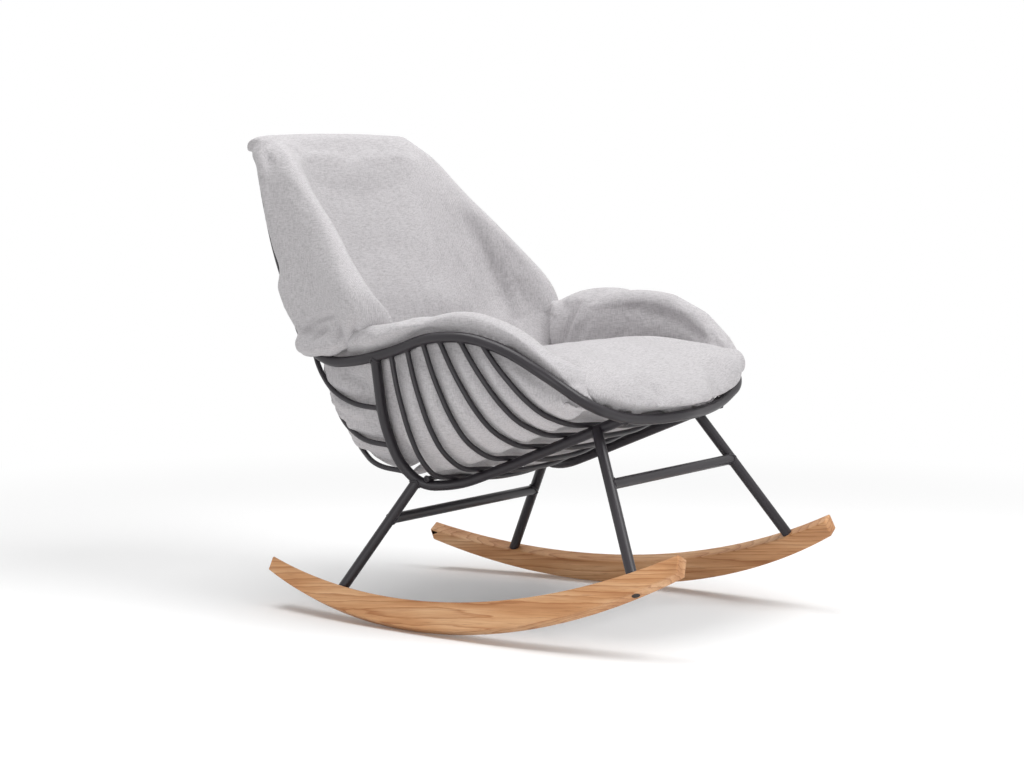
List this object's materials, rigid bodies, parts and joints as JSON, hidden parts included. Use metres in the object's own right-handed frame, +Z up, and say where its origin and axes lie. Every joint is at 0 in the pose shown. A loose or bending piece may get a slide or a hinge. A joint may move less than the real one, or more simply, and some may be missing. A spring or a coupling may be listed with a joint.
{
  "type": "rocking lounge chair",
  "caption": "Low rocking lounge chair: bent tube basket with thin ribs, loose padded cushions, splayed legs and leaning wooden rockers.",
  "frame": {"origin": "on the floor, under the middle of the chair's bounding box", "axes": "+Z up, the sitter faces -Y, +X to the sitter's left, and the chair is symmetric about X = 0. It is modelled at the rest attitude it rocks to on a level floor"},
  "size_m": [0.6974, 1.032, 0.9198],
  "materials": {
    "powder_coat": "satin anthracite powder coat",
    "zinc_plated": "bright zinc plate",
    "plug": "matt dark brown",
    "teak": "oiled teak",
    "cover_fabric": "light grey woven outdoor fabric"
  },
  "bodies": {
    "root": {"rim_front_tube": "powder_coat", "rim_top_tube": "powder_coat", "rim_arm_tube_left": "powder_coat", "rim_arm_tube_right": "powder_coat", "rim_upright_tube_left": "powder_coat", "rim_upright_tube_right": "powder_coat", "side_hoop_left": "powder_coat", "side_hoop_right": "powder_coat", "seat_rib_1": "powder_coat", "seat_rib_2": "powder_coat", "seat_rib_3": "powder_coat", "seat_rib_4": "powder_coat", "seat_rib_5": "powder_coat", "seat_rib_6": "powder_coat", "cross_rod": "powder_coat", "back_rod_1_left": "powder_coat", "back_rod_1_right": "powder_coat", "back_rod_2_left": "powder_coat", "back_rod_2_right": "powder_coat", "back_rod_3_left": "powder_coat", "back_rod_3_right": "powder_coat", "front_leg_left": "powder_coat", "front_leg_right": "powder_coat", "rear_leg_left": "powder_coat", "rear_leg_right": "powder_coat", "front_stretcher": "powder_coat", "rear_stretcher": "powder_coat", "leg_inserts": "zinc_plated", "rocker_bolts": "zinc_plated", "rocker_washers": "zinc_plated", "rocker_plugs": "plug", "rocker_left": "teak", "rocker_right": "teak", "arm_pad_left": "cover_fabric", "arm_pad_right": "cover_fabric", "seat_cushion": "cover_fabric", "back_cushion": "cover_fabric"}
  },
  "joints": []
}
